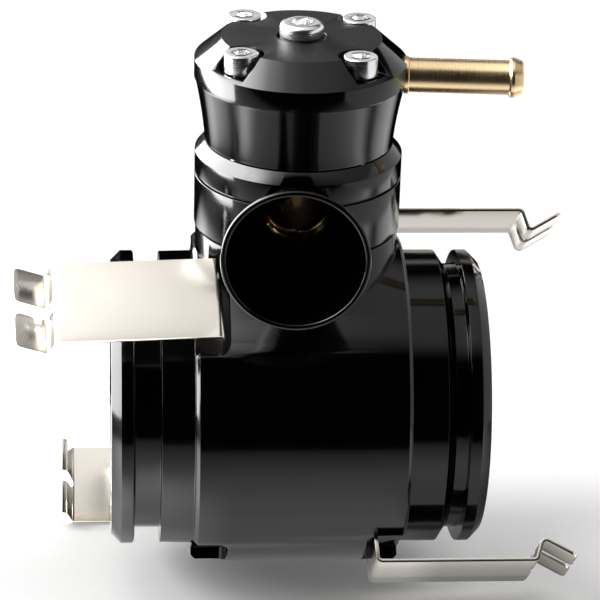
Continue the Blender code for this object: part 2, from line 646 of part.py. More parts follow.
def make_piston():
    """The brass piston, a cup with one ring groove, and its ring and spring."""
    groove = PISTON_TOP - PISTON_RING_DROP
    half = RING_PISTON_R + GAP
    floor = PISTON_R - 2 * RING_PISTON_R - GAP
    inside = [
        (0, PISTON_FLOOR_Z), (PISTON_CUP_R - PISTON_CHAMFER, PISTON_FLOOR_Z),
        (PISTON_CUP_R, PISTON_FLOOR_Z + PISTON_CHAMFER), (PISTON_CUP_R, PISTON_TOP),
    ]
    outside = [
        (PISTON_R - PISTON_CHAMFER, PISTON_TOP), (PISTON_R, PISTON_TOP - PISTON_CHAMFER),
        (PISTON_R, groove + half), (floor, groove + half), (floor, groove - half), (PISTON_R, groove - half),
        (PISTON_R, PISTON_Z + PISTON_CHAMFER), (PISTON_R - PISTON_CHAMFER, PISTON_Z),
        (PISTON_R / 2, PISTON_Z), (PISTON_R / 2 - PISTON_DISH, PISTON_Z + PISTON_DISH),
        (0, PISTON_Z + PISTON_DISH),
    ]
    lift = add_frame("piston_lift", VALVE)
    piston = turned("piston", inside + outside, TRUMPET_STEPS, closed=False, material=BRASS, parent=lift)
    ring("piston_ring", PISTON_R - RING_PISTON_R, RING_PISTON_R, groove, lift)
    return piston


def make_spring():
    """The return spring between the piston's floor and the spring seat, with closed ends."""
    low = PISTON_FLOOR_Z + GAP + SPRING_WIRE_R
    high = SEAT_FLANGE_Z - GAP - SPRING_WIRE_R
    pitch_closed = 2 * SPRING_WIRE_R + SPRING_END_GAP
    count = SPRING_TURNS * SPRING_POINTS
    coil = bpy.data.curves.new("piston_spring", "CURVE")
    coil.dimensions = "3D"
    coil.bevel_depth = SPRING_WIRE_R
    coil.bevel_resolution = 1
    coil.use_fill_caps = True
    line = coil.splines.new("POLY")
    line.points.add(count)
    open_rise = high - low - 2 * pitch_closed
    for i in range(count + 1):
        turn = i / SPRING_POINTS
        active = min(max((turn - 1) / (SPRING_TURNS - 2), 0), 1)
        closed = min(turn, 1) + max(turn - (SPRING_TURNS - 1), 0)
        z = low + closed * pitch_closed + active * open_rise
        line.points[i].co = (SPRING_R * cos(2 * pi * turn), SPRING_R * sin(2 * pi * turn), z, 1)
    return add_object("piston_spring", coil, material=SPRING_WIRE, parent=VALVE)


def make_spring_seat():
    """The disc under the roof that holds the spring's upper end and takes the centre screw."""
    hole_floor = SEAT_FLANGE_Z - SEAT_BOSS + SEAT_WEB
    flange_r = PISTON_BORE_R - SEAT_PLAY
    boss_r = SPRING_R - SPRING_WIRE_R - 2 * GAP
    top = SEAT_FLANGE_Z + SEAT_FLANGE
    low = SEAT_FLANGE_Z - SEAT_BOSS
    profile = [
        (CENTRE_SHANK_R + THREAD_GAP, top), (flange_r, top), (flange_r, SEAT_FLANGE_Z),
        (boss_r, SEAT_FLANGE_Z), (boss_r, low + CENTRE_CHAMFER), (boss_r - CENTRE_CHAMFER, low), (0, low),
    ]
    inside = [(0, hole_floor), (CENTRE_SHANK_R + THREAD_GAP, hole_floor)]
    return turned("spring_seat", inside + profile, RING_STEPS, closed=False, material=SCREW_STEEL, parent=VALVE)


def make_centre_screw():
    """The low domed screw in the middle of the head, with its sealing ring."""
    top = CENTRE_UNDER + CENTRE_HEAD_HEIGHT
    tip = SEAT_FLANGE_Z - SEAT_BOSS + SEAT_WEB + CENTRE_TIP_PLAY
    profile = [(0, top)]
    profile += arc(CENTRE_HEAD_R - CENTRE_ROUND, top - CENTRE_ROUND, CENTRE_ROUND, 90, 0, 4)
    profile += [
        (CENTRE_HEAD_R, CENTRE_UNDER), (CENTRE_SHANK_R, CENTRE_UNDER), (CENTRE_SHANK_R, tip + CENTRE_CHAMFER),
        (CENTRE_SHANK_R - CENTRE_CHAMFER, tip), (0, tip),
    ]
    screw = turned("centre_screw", profile, RING_STEPS, closed=False, material=SCREW_STEEL, parent=VALVE)
    key = prism("centre_screw_hex", 6, hexagon(CENTRE_HEX), top - HEX_DEPTH, top + REACH, parent=VALVE)
    combine(screw, key)
    major = CENTRE_SHANK_R + 2 * GAP + RING_CENTRE_R
    ring("centre_screw_ring", major, RING_CENTRE_R, CENTRE_UNDER - GAP - RING_CENTRE_R, VALVE)
    return screw


def make_head_screw(name, frame):
    """A socket cap screw that holds the head to the body."""
    under = POCKET_Z + GAP
    top = under + SCREW_HEAD_HEIGHT
    tip = under - SCREW_LENGTH
    profile = [
        (0, top), (SCREW_HEAD_R - SCREW_CHAMFER, top), (SCREW_HEAD_R, top - SCREW_CHAMFER),
        (SCREW_HEAD_R, under), (SCREW_SHANK_R, under), (SCREW_SHANK_R, tip + SCREW_CHAMFER),
        (SCREW_SHANK_R - SCREW_CHAMFER, tip), (0, tip),
    ]
    screw = turned(name, profile, SCREW_STEPS, closed=False, material=SCREW_STEEL, parent=frame)
    key = prism(f"{name}_hex", 6, hexagon(SCREW_HEX), top - HEX_DEPTH, top + REACH, parent=frame)
    combine(screw, key)
    return screw


def make_nipple():
    """The vacuum hose nipple: thread, collar, tube and a bead at the tip."""
    inner = NIPPLE_THREAD_END + GAP
    seat = HEAD_R - NIPPLE_COLLAR + GAP
    bead = NIPPLE_TIP - NIPPLE_BEAD
    profile = [
        (NIPPLE_BORE_R + NIPPLE_LEAD, NIPPLE_TIP), (NIPPLE_R - EDGE_BREAK, NIPPLE_TIP),
        (NIPPLE_R, NIPPLE_TIP - EDGE_BREAK), (NIPPLE_BEAD_R, bead + NIPPLE_BEAD / 3),
        (NIPPLE_BEAD_R, bead + EDGE_BREAK), (NIPPLE_BEAD_R - EDGE_BREAK, bead), (NIPPLE_R, bead),
        (NIPPLE_R, seat + NIPPLE_COLLAR), (NIPPLE_COLLAR_R, seat + NIPPLE_COLLAR), (NIPPLE_COLLAR_R, seat),
        (NIPPLE_THREAD_R, seat), (NIPPLE_THREAD_R, inner), (NIPPLE_BORE_R, inner),
        (NIPPLE_BORE_R, NIPPLE_TIP - NIPPLE_LEAD),
    ]
    return turned("hose_nipple", profile, SCREW_STEPS, material=NIPPLE_BRASS, parent=NIPPLE_FRAME)


RETAINERS = {"retaining_screw_left": RETAINER_ANGLE, "retaining_screw_right": -RETAINER_ANGLE}
RETAINER_FRAMES = {
    name: add_frame(f"{name}_frame", BASE, (0, 0, RETAINER_Z), (-pi / 2, 0, angle))
    for name, angle in RETAINERS.items()
}
TRUMPET_FRAME = add_frame("trumpet_frame", VALVE, (0, 0, TRUMPET_Z), (pi / 2, 0, 0))
NIPPLE_FRAME = add_frame("nipple_frame", VALVE, (0, 0, NIPPLE_Z), (0, pi / 2, 0))
SCREW_FRAMES = {}
for index in range(4):
    bearing = pi / 4 + index * pi / 2
    place = (SCREW_CIRCLE_R * cos(bearing), SCREW_CIRCLE_R * sin(bearing), 0)
    screw_name = f"head_screw_{index + 1}"
    SCREW_FRAMES[screw_name] = add_frame(f"{screw_name}_frame", VALVE, place, (0, 0, bearing))

make_adaptor()
make_valve_body()
make_head()
make_trumpet()
make_piston()
make_spring()
make_spring_seat()
make_centre_screw()
make_nipple()
for screw_name, screw_frame in SCREW_FRAMES.items():
    make_head_screw(screw_name, screw_frame)
for retainer_name in RETAINERS:
    make_retainer(retainer_name)
for clip_name, clip_place in CLIPS.items():
    make_clip(clip_name, *clip_place)
ring("head_ring", PISTON_BORE_R + RING_HEAD_R + GAP / 3, RING_HEAD_R, SLEEVE_TOP + GAP + RING_HEAD_R, VALVE)
ring("base_ring", STUB_R - RING_BASE_R, RING_BASE_R, STUB_BOTTOM + STUB_RING_RISE + GAP + RING_BASE_R, VALVE)
bpy.context.view_layer.update()
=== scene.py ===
"""Looks for the blow off valve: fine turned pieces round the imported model, materials, studio and camera."""
from math import atan, cos, hypot, pi, radians, sin, tan

import bmesh
import bpy
from mathutils import Matrix, Vector


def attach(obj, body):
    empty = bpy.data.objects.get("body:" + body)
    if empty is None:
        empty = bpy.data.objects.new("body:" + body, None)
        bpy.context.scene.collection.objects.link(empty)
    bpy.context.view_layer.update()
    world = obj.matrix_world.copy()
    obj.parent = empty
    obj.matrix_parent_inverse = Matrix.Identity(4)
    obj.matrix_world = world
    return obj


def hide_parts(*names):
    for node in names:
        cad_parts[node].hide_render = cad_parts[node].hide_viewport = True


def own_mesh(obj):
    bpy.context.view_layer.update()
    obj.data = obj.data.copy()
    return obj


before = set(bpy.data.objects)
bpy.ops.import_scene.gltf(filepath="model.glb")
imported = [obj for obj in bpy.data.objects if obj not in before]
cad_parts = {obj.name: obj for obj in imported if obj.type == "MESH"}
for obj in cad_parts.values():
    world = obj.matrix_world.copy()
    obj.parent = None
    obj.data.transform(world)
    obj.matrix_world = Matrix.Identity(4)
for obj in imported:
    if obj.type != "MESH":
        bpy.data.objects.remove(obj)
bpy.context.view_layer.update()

MM = 0.001
ON_AXIS = 1e-6

# Frames of the part, as in its source, in mm
AXIS_X, AXIS_Y, AXIS_Z = 0.176, 4.801, 38.782
VALVE_TURN = radians(4.3)
TRUMPET_Z = 51.075
NIPPLE_Z = 75.25
RETAINER_Z = 38.6
SCREW_CIRCLE_R = 17.25
CLIP_ANGLE = radians(55)
CLIP_RIGHT_FRONT_ANGLE = radians(-49.5)
CLIP_PATTERN_TURN = radians(2)
CLIP_SKEW = radians(2.3)
CLIP_LEFT_REAR_SLIDE = -2.8
CLIP_STRAP_IN = 17.0
RETAINER_TURN = radians(40)

# Sizes that several pieces share, in mm
GAP = 0.3
HEAD_SCREWS = 4
HOLE_SIDES = 32
SCREW_HOLE_R = 2.05


def shift(x, y, z):
    return Matrix.Translation((x * MM, y * MM, z * MM))


BASE = shift(AXIS_X, AXIS_Y, AXIS_Z)
DUCT = BASE @ Matrix.Rotation(pi / 2, 4, "Y")
VALVE = BASE @ Matrix.Rotation(-VALVE_TURN, 4, "Z")
TRUMPET = VALVE @ shift(0, 0, TRUMPET_Z) @ Matrix.Rotation(pi / 2, 4, "X")
NIPPLE = VALVE @ shift(0, 0, NIPPLE_Z) @ Matrix.Rotation(pi / 2, 4, "Y")


def screw_frame(index):
    return VALVE @ Matrix.Rotation(pi / 4 + index * pi / 2, 4, "Z") @ shift(SCREW_CIRCLE_R, 0, 0)


def retainer_frame(angle):
    return BASE @ shift(0, 0, RETAINER_Z) @ Matrix.Rotation(angle, 4, "Z") @ Matrix.Rotation(-pi / 2, 4, "X")


def clip_frame(side, angle, skew=0, slide=0):
    turn = Matrix.Rotation(pi / 2 - angle - CLIP_PATTERN_TURN, 4, "X")
    if side < 0:
        turn = turn @ Matrix.Rotation(pi, 4, "Z")
    hinge = shift(CLIP_STRAP_IN + slide, 0, 0)
    return BASE @ turn @ hinge @ Matrix.Rotation(skew, 4, "Z") @ shift(-CLIP_STRAP_IN, 0, 0)


# Meshes

def arc(centre_r, centre_z, radius, start, end, count):
    angles = [radians(start + (end - start) * i / count) for i in range(count + 1)]
    return [(centre_r + radius * cos(a), centre_z + radius * sin(a)) for a in angles]


def rounded(points, radius, count=4, closed=False, least=20):
    """Rounds the corners of a profile that turn by more than the least angle, in degrees."""
    out = []
    size = len(points)
    for i, point in enumerate(points):
        if not closed and i in (0, size - 1):
            out.append(tuple(point[:2]))
            continue
        here = Vector(point[:2])
        before = Vector(points[i - 1][:2]) - here
        after = Vector(points[(i + 1) % size][:2]) - here
        bend = pi - before.angle(after)
        if bend < radians(least) or (len(point) > 2 and point[2] == 0):
            out.append(tuple(here))
            continue
        wanted = point[2] if len(point) > 2 else radius
        back = min(wanted * tan(bend / 2), 0.45 * before.length, 0.45 * after.length)
        first = here + before.normalized() * back
        last = here + after.normalized() * back
        for k in range(count + 1):
            t = k / count
            out.append(tuple(first * (1 - t) ** 2 + here * 2 * t * (1 - t) + last * t ** 2))
    return out


def add_object(name, data, matrix):
    obj = bpy.data.objects.new(name, data)
    bpy.context.scene.collection.objects.link(obj)
    obj.matrix_world = matrix
    return obj


def solid_mesh(name, verts, faces):
    """A closed mesh whose faces look outwards."""
    mesh = bpy.data.meshes.new(name)
    mesh.from_pydata(verts, [], faces)
    bm = bmesh.new()
    bm.from_mesh(mesh)
    bmesh.ops.recalc_face_normals(bm, faces=bm.faces)
    if bm.calc_volume(signed=True) < 0:
        bmesh.ops.reverse_faces(bm, faces=bm.faces)
    bm.to_mesh(mesh)
    bm.free()
    return mesh


def turned_mesh(name, profile, steps, closed=False):
    """Turns a profile in mm about the local Z axis."""
    verts = []
    rings = []
    for r, z in profile:
        if r < ON_AXIS:
            rings.append([len(verts)] * steps)
            verts.append((0, 0, z * MM))
        else:
            rings.append(list(range(len(verts), len(verts) + steps)))
            for k in range(steps):
                a = 2 * pi * k / steps
                verts.append((r * cos(a) * MM, r * sin(a) * MM, z * MM))
    faces = []
    pairs = list(zip(rings, rings[1:]))
    if closed:
        pairs.append((rings[-1], rings[0]))
    for low, high in pairs:
        for k in range(steps):
            n = (k + 1) % steps
            face = list(dict.fromkeys([low[k], low[n], high[n], high[k]]))
            if len(face) > 2:
                faces.append(face)
    return solid_mesh(name, verts, faces)


def turned(name, profile, steps, matrix, closed=False):
    return add_object(name, turned_mesh(name, profile, steps, closed), matrix)


def prism(name, sides, radius, low, high, matrix, turn=0.0):
    profile = [(0, low), (radius, low), (radius, high), (0, high)]
    return turned(name, profile, sides, matrix @ Matrix.Rotation(turn, 4, "Z"))


def block(name, size, centre, radius, matrix, segments=12):
    """A box in mm whose two upright edges on the low X side are rounded."""
    bm = bmesh.new()
    bmesh.ops.create_cube(bm, size=1.0)
    bmesh.ops.scale(bm, vec=Vector(size) * MM, verts=bm.verts)
    bmesh.ops.translate(bm, vec=Vector(centre) * MM, verts=bm.verts)
    upright = []
    for edge in bm.edges:
        first, second = (v.co for v in edge.verts)
        if abs(first.z - second.z) > size[2] * MM / 2 and first.x < centre[0] * MM:
            upright.append(edge)
    bmesh.ops.bevel(bm, geom=upright, offset=radius * MM, segments=segments, profile=0.5, affect="EDGES")
    mesh = bpy.data.meshes.new(name)
    bm.to_mesh(mesh)
    bm.free()
    return add_object(name, mesh, matrix)


def applied(obj):
    """Bakes an object's modifiers into its mesh."""
    graph = bpy.context.evaluated_depsgraph_get()
    mesh = bpy.data.meshes.new_from_object(obj.evaluated_get(graph))
    obj.modifiers.clear()
    obj.data = mesh
    return obj


def combine(obj, others, operation="DIFFERENCE"):
    for other in others:
        modifier = obj.modifiers.new(other.name, "BOOLEAN")
        modifier.object = other
        modifier.operation = operation
        modifier.solver = "EXACT"
    bpy.context.view_layer.update()
    applied(obj)
    for other in others:
        bpy.data.objects.remove(other, do_unlink=True)
    return obj


def edge_bevel(obj, width, angle=32, segments=2):
    """Rounds the sharp edges that cutting left."""
    modifier = obj.modifiers.new("edges", "BEVEL")
    modifier.width = width * MM
    modifier.segments = segments
    modifier.limit_method = "ANGLE"
    modifier.angle_limit = radians(angle)
    modifier.use_clamp_overlap = True
    modifier.miter_outer = "MITER_ARC"
    bpy.context.view_layer.update()
    return applied(obj)


def smooth(obj, angle=30):
    obj.data.shade_smooth()
    obj.data.set_sharp_from_angle(angle=radians(angle))
    return obj


def dress(obj, body, material, slot, *nodes):
    """Puts a material on a piece and has it stand for its CAD nodes."""
    obj.data.materials.clear()
    obj.data.materials.append(material)
    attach(obj, body)
    if nodes:
        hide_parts(*nodes)
    return obj


# Materials

class Nodes:
    """A short way to write a node tree."""

    def __init__(self, name):
        self.material = bpy.data.materials.new(name)
        self.material.use_nodes = True
        self.tree = self.material.node_tree
        self.shader = self.tree.nodes["Principled BSDF"]

    def add(self, kind, **values):
        node = self.tree.nodes.new(kind)
        for key, value in values.items():
            if key in node.inputs:
                node.inputs[key].default_value = value
            else:
                setattr(node, key, value)
        return node

    def link(self, a, b):
        self.tree.links.new(a, b)

    def set(self, **values):
        for key, value in values.items():
            self.shader.inputs[key.replace("_", " ")].default_value = value

    def coords(self, scale=(1, 1, 1)):
        place = self.add("ShaderNodeTexCoord")
        mapping = self.add("ShaderNodeMapping")
        mapping.inputs["Scale"].default_value = scale
        self.link(place.outputs["Object"], mapping.inputs["Vector"])
        return mapping.outputs["Vector"]

    def noise(self, vector, scale, detail=3.0, rough=0.5):
        node = self.add("ShaderNodeTexNoise")
        node.inputs["Scale"].default_value = scale
        node.inputs["Detail"].default_value = detail
        node.inputs["Roughness"].default_value = rough
        self.link(vector, node.inputs["Vector"])
        return node.outputs["Fac"]

    def span(self, value, low, high, out_low, out_high):
        node = self.add("ShaderNodeMapRange")
        for key, number in zip(("From Min", "From Max", "To Min", "To Max"), (low, high, out_low, out_high)):
            node.inputs[key].default_value = number
        self.link(value, node.inputs["Value"])
        return node.outputs["Result"]

    def ease(self, value, low, high, out_low, out_high):
        result = self.span(value, low, high, out_low, out_high)
        result.node.interpolation_type = "SMOOTHSTEP"
        return result

    def ramp(self, value, stops, top):
        """A curve through (position, level) stops, of which the highest level is the top."""
        node = self.add("ShaderNodeValToRGB")
        self.link(value, node.inputs["Fac"])
        elements = node.color_ramp.elements
        while len(elements) < len(stops):
            elements.new(1.0)
        for element, (place, level) in zip(elements, stops):
            element.position = place
            element.color = (level / top, level / top, level / top, 1)
        return self.math("MULTIPLY", node.outputs["Color"], top)

    def math(self, operation, a, b):
        node = self.add("ShaderNodeMath", operation=operation)
        for socket, value in zip(node.inputs, (a, b)):
            if isinstance(value, (int, float)):
                socket.default_value = value
            else:
                self.link(value, socket)
        return node.outputs[0]

    def mix(self, factor, low, high):
        node = self.add("ShaderNodeMix", data_type="RGBA")
        self.link(factor, node.inputs[0])
        node.inputs[6].default_value = (*low, 1)
        node.inputs[7].default_value = (*high, 1)
        return node.outputs[2]

    def bump(self, height, strength, distance):
        node = self.add("ShaderNodeBump")
        node.inputs["Strength"].default_value = strength
        node.inputs["Distance"].default_value = distance * MM
        self.link(height, node.inputs["Height"])
        self.link(node.outputs["Normal"], self.shader.inputs["Normal"])


def finish(n, slow, fine, tones, rough, spread, bump, distance):
    """Tone and gloss that change slowly, with a fine relief whose distance is in mm."""
    n.link(n.mix(slow, *tones), n.shader.inputs["Base Color"])
    slow_gloss = n.span(slow, *NOISE_RANGE, rough, rough + spread)
    n.link(n.math("ADD", slow_gloss, n.span(fine, *NOISE_RANGE, 0, spread)), n.shader.inputs["Roughness"])
    n.bump(fine, bump, distance)
    return n.material


def turned_finish(name, tones, metallic, rough, spread, level=0.5):
    """A turned surface with fine rings about the local Z axis."""
    n = Nodes(name)
    n.set(Metallic=metallic, Specular_IOR_Level=level)
    slow = n.noise(n.coords(), 90, 4)
    fine = n.noise(n.coords(RING_STRETCH), 1.0, 2)
    return finish(n, slow, fine, tones, rough, spread, 0.3, 0.004)


def grained_finish(name, tones, metallic, rough, spread, scale, bump, distance, stretch=(1, 1, 1), level=0.5):
    """A surface with grain that is stretched by a scale along each local axis."""
    n = Nodes(name)
    n.set(Metallic=metallic, Specular_IOR_Level=level)
    slow = n.noise(n.coords(), 70, 4)
    fine = n.noise(n.coords(stretch), scale, 3)
    return finish(n, slow, fine, tones, rough, spread, bump, distance)


# The noise keeps to the middle of its range, and the rings' noise is squeezed along the axis
NOISE_RANGE = (0.3, 0.7)
RING_STRETCH = (40, 40, 9000)
STRIP_STRETCH = (1, 60, 60)

# Darker and lighter tone of each surface
BLACK_TONES = ((0.0006, 0.0006, 0.0007), (0.0012, 0.0012, 0.0014))
GREY_TONES = ((0.0008, 0.0008, 0.0009), (0.0016, 0.0016, 0.0018))
FACE_TONES = ((0.003, 0.003, 0.003), (0.006, 0.006, 0.006))
BRASS_TONES = ((0.74, 0.47, 0.20), (0.82, 0.56, 0.27))
NIPPLE_TONES = ((0.82, 0.60, 0.33), (0.88, 0.67, 0.40))
SCREW_TONES = ((0.84, 0.85, 0.86), (0.91, 0.92, 0.93))
CLIP_TONES = ((0.73, 0.68, 0.61), (0.79, 0.74, 0.665))
WIRE_TONES = ((0.45, 0.45, 0.46), (0.58, 0.58, 0.59))
RUBBER_TONES = ((0.008, 0.008, 0.008), (0.016, 0.016, 0.016))

BLACK = turned_finish("black_anodise", BLACK_TONES, metallic=0.0, rough=0.07, spread=0.04, level=0.31)
HORN_BLACK = turned_finish("trumpet_anodise", BLACK_TONES, metallic=0.0, rough=0.07, spread=0.04, level=0.31)
GREY = turned_finish("grey_anodise", GREY_TONES, metallic=0.0, rough=0.06, spread=0.04, level=0.4)
FACE = grained_finish(
    "face_anodise", FACE_TONES, metallic=0.0, rough=0.42, spread=0.1, scale=1500, bump=0.2, distance=0.01,
    level=0.15,
)
BRASS = turned_finish("brass", BRASS_TONES, metallic=1.0, rough=0.13, spread=0.05)
NIPPLE_BRASS = turned_finish("nipple_brass", NIPPLE_TONES, metallic=1.0, rough=0.22, spread=0.06)
SCREW = turned_finish("screw_steel", SCREW_TONES, metallic=1.0, rough=0.18, spread=0.08)
CLIP = grained_finish(
    "clip_steel", CLIP_TONES, metallic=1.0, rough=0.15, spread=0.04, scale=60, bump=0.15, distance=0.004,
    stretch=STRIP_STRETCH,
)
WIRE = grained_finish(
    "spring_wire", WIRE_TONES, metallic=1.0, rough=0.25, spread=0.1, scale=900, bump=0.2, distance=0.004,
)
RUBBER = grained_finish(
    "rubber", RUBBER_TONES, metallic=0.0, rough=0.5, spread=0.15, scale=1800, bump=0.3, distance=0.01,
)

# Duct adaptor
PIPE_R, BARREL_R, BORE_R = 32.0, 36.0, 26.5
LEFT, RIGHT = 39.6, 40.3
SHOULDER_LEFT, SHOULDER_RIGHT = 22.1, 23.1
POCKET_START, POCKET_FLOOR = 14.8, PIPE_R - 0.1
PAST = 5  # how far a cutter reaches past the piece
POCKETS = (  # side, angle and slide
    (-1, CLIP_ANGLE, 0), (-1, -CLIP_ANGLE, 0), (-1, pi - CLIP_ANGLE, 0),
    (-1, pi + CLIP_ANGLE, CLIP_LEFT_REAR_SLIDE), (1, pi - CLIP_ANGLE, 0), (1, CLIP_RIGHT_FRONT_ANGLE, 0),
)

# Valve
VALVE_R, HEAD_TOP = 21.9, 83.2
PISTON_FLOOR = 46.0
SPRING_TOP = 75.7 - GAP
CURVE_STEPS = 24


def make_adaptor():
    outline = [
        (0, RIGHT), (29.9, RIGHT, 0.15), (PIPE_R, 38.2, 0.15), (PIPE_R, 35.8, 0.15), (29.0, 35.8, 0.3),
        (29.0, 33.0, 0.3), (PIPE_R, 31.0, 0.15), (PIPE_R, SHOULDER_RIGHT, 0.3),
        (35.2, SHOULDER_RIGHT, 0.15), (BARREL_R, 22.3, 0.15), (BARREL_R, -21.3, 0.15),
        (35.2, -SHOULDER_LEFT, 0.15), (PIPE_R, -SHOULDER_LEFT, 0.3), (31.83, -29.1, 0.15),
        (28.5, -29.1, 0.3), (28.5, -34.7, 0.3), (31.65, -34.7, 0.15), (PIPE_R, -35.05, 0.15),
        (PIPE_R, -37.5, 0.15), (29.9, -LEFT, 0.15), (0, -LEFT),
    ]
    duct = turned("duct", rounded(outline, 0.15), 160, DUCT)
    boss = prism("boss", 128, 21.6, BORE_R / 2, 41.45, BASE)
    combine(duct, [boss], "UNION")
    bore = [
        (0, RIGHT + PAST), (32.1, RIGHT + PAST), (BORE_R, RIGHT - 0.6), (BORE_R, -LEFT + 0.6),
        (32.1, -LEFT - PAST), (0, -LEFT - PAST),
    ]
    seat = [
        (0, 46.45), (22.8, 46.45), (17.2, 40.85), (17.2, 31.3), (12.0, 31.3), (12.0, 0), (0, 0),
    ]
    cutters = [turned("duct_bore", bore, 160, DUCT), turned("valve_seat", seat, 128, BASE)]
    for side, angle, slide in POCKETS:
        length = (SHOULDER_LEFT if side < 0 else SHOULDER_RIGHT) + PAST - POCKET_START
        size = (length, 21.1, BARREL_R)
        centre = (POCKET_START + length / 2, 0, POCKET_FLOOR + BARREL_R / 2)
        cutters.append(block("pocket", size, centre, 2.6, clip_frame(side, angle, slide=slide)))
    for angle in (RETAINER_TURN, -RETAINER_TURN):
        cutters.append(prism("retainer_hole", 40, 2.05, 15.8, 26.6, retainer_frame(angle)))
    combine(duct, cutters)
    edge_bevel(duct, 0.12)
    return smooth(duct)


def make_valve_body():
    line = 53.05
    profile = [
        (14.0, 70.5, 0.2), (14.0, 60.4, 0.2), (19.9, 60.4, 0.12), (VALVE_R, 58.1, 0.12),
        (VALVE_R, line + 0.75, 0.1), (21.3, line + 0.6, 0.05), (21.3, line + 0.15, 0.05),
        (VALVE_R, line, 0.1), (VALVE_R, 42.1, 0.1), (21.55, 41.75, 0.1), (16.9, 41.75, 0.2),
        (16.9, 40.0, 0.1), (15.8, 40.0, 0.1), (15.8, 37.2, 0.1), (16.9, 37.2, 0.1), (16.9, 35.4, 0.1),
        (15.0, 35.4, 0.1), (15.0, 33.2, 0.1), (16.9, 33.2, 0.1), (16.9, 32.1, 0.1), (16.4, 31.6, 0.1),
        (12.0, 31.6, 0.1), (12.0, 42.65, 0.1), (13.0, 42.65, 0.1), (13.0, 70.5, 0.2),
    ]
    body = turned("lower_body", rounded(profile, 0.1, closed=True), 144, VALVE, closed=True)
    port = [(0, 27), (7.8, 27), (7.8, 16.9), (6.2, 16.9), (6.2, 6.5), (0, 6.5)]
    cutters = [turned("port", port, 96, TRUMPET)]
    for i in range(HEAD_SCREWS):
        cutters.append(prism(f"thread_{i}", HOLE_SIDES, SCREW_HOLE_R, 51.1, 66.0, screw_frame(i)))
    combine(body, cutters)
    edge_bevel(body, 0.1)
    return smooth(body)


def make_head():
    flare = []
    for i in range(CURVE_STEPS):
        t = 1 - i / CURVE_STEPS
        flare.append((19.9 + 2.1 * t ** 1.35, 60.7 + 13.45 * t))
    profile = [
        (16.8, HEAD_TOP, 0.12), (22.25, 78.45, 0.15), (22.25, 74.4, 0.12), *flare, (19.9, 60.7, 0.12),
        (14.3, 60.7, 0.2), (14.3, 72.0, 0.1), (13.0, 72.0, 0.1), (13.0, 77.5, 0.1), (3.1, 77.5, 0.1),
        (3.1, 81.6, 0.1), (5.2, 81.6, 0.1), (5.2, HEAD_TOP, 0.12),
    ]
    head = turned("upper_body", rounded(profile, 0.12, closed=True), 148, VALVE, closed=True)
    cutters = []
    for i in range(HEAD_SCREWS):
        cutters.append(prism(f"hole_{i}", HOLE_SIDES, SCREW_HOLE_R, 55.7, 85.7, screw_frame(i)))
        cutters.append(block(f"pocket_{i}", (14.6, 9.2, 9.1), (2.7, 0, 83.65), 4.4, screw_frame(i), 20))
    seat = [
        (0, 27.25), (4.25, 27.25), (4.25, 21.35), (2.7, 21.35), (2.7, 15.3), (1.6, 15.3), (1.6, 6.5),
        (0, 6.5),
    ]
    cutters.append(turned("nipple_seat", seat, 64, NIPPLE))
    combine(head, cutters)
    edge_bevel(head, 0.1)
    return smooth(head)


def make_horn():
    lip, neck_end, mouth = 0.65, 22.3, 44.6
    outer_r, inner_r, widening = 7.5, 6.2, 7.55
    outer, inner = [], []
    for i in range(CURVE_STEPS + 1):
        t = 1 - i / CURVE_STEPS
        run = neck_end + (mouth - lip - neck_end) * t
        spread = 0.86 * t + 0.14 * t ** 3
        outer.append((outer_r + widening * spread, run))
        inner.append((inner_r + widening * spread, run))
    inner.reverse()
    rim = arc(14.4, mouth - lip, lip, 180, 0, 12)
    profile = rim[1:-1] + outer + [(outer_r, 17.2), (inner_r, 17.2)] + inner
    return smooth(turned("horn", profile, 160, TRUMPET, closed=True), 40)


def make_piston():
    profile = [
        (0, PISTON_FLOOR), (9.4, PISTON_FLOOR, 0.1), (9.8, 46.4, 0.1), (9.8, 60.0, 0.1), (12.3, 60.0, 0.1),
        (12.7, 59.6, 0.1), (12.7, 59.45, 0.05), (11.2, 59.45, 0.05), (11.2, 57.65, 0.05), (12.7, 57.65, 0.1),
        (12.7, 43.35, 0.1), (12.3, 42.95, 0.1), (6.35, 42.95, 0.2), (5.35, 43.95, 0.2), (0, 43.95),
    ]
    return smooth(turned("piston_fine", rounded(profile, 0.1), 128, VALVE))


def make_coil():
    """The return spring as a swept tube."""
    wire, radius, turns, per_turn, sides = 0.85, 8.15, 7, 40, 12
    low, high = PISTON_FLOOR + GAP + wire, SPRING_TOP - wire
    closed_rise = 2 * wire + 0.15
    open_rise = high - low - 2 * closed_rise
    points = []
    for i in range(turns * per_turn + 1):
        turn = i / per_turn
        active = min(max((turn - 1) / (turns - 2), 0), 1)
        ends = min(turn, 1) + max(turn - (turns - 1), 0)
        z = low + ends * closed_rise + active * open_rise
        points.append(Vector((radius * cos(2 * pi * turn), radius * sin(2 * pi * turn), z)))
    verts, faces = [], []
    for i, p in enumerate(points):
        along = (points[min(i + 1, len(points) - 1)] - points[max(i - 1, 0)]).normalized()
        out = Vector((p.x, p.y, 0)).normalized()
        up = along.cross(out).normalized()
        for k in range(sides):
            a = 2 * pi * k / sides
            verts.append((p + (out * cos(a) + up * sin(a)) * wire) * MM)
    for i in range(len(points) - 1):
        for k in range(sides):
            n = (k + 1) % sides
            faces.append((i * sides + k, i * sides + n, (i + 1) * sides + n, (i + 1) * sides + k))
    faces.append(tuple(range(sides)))
    faces.append(tuple(range(len(verts) - sides, len(verts))))
    return smooth(add_object("spring_fine", solid_mesh("spring_fine", verts, faces), VALVE))


def hexagon(across):
    """The radius of a hexagon's corners from its width across flats."""
    return across / 2 / cos(pi / 6)


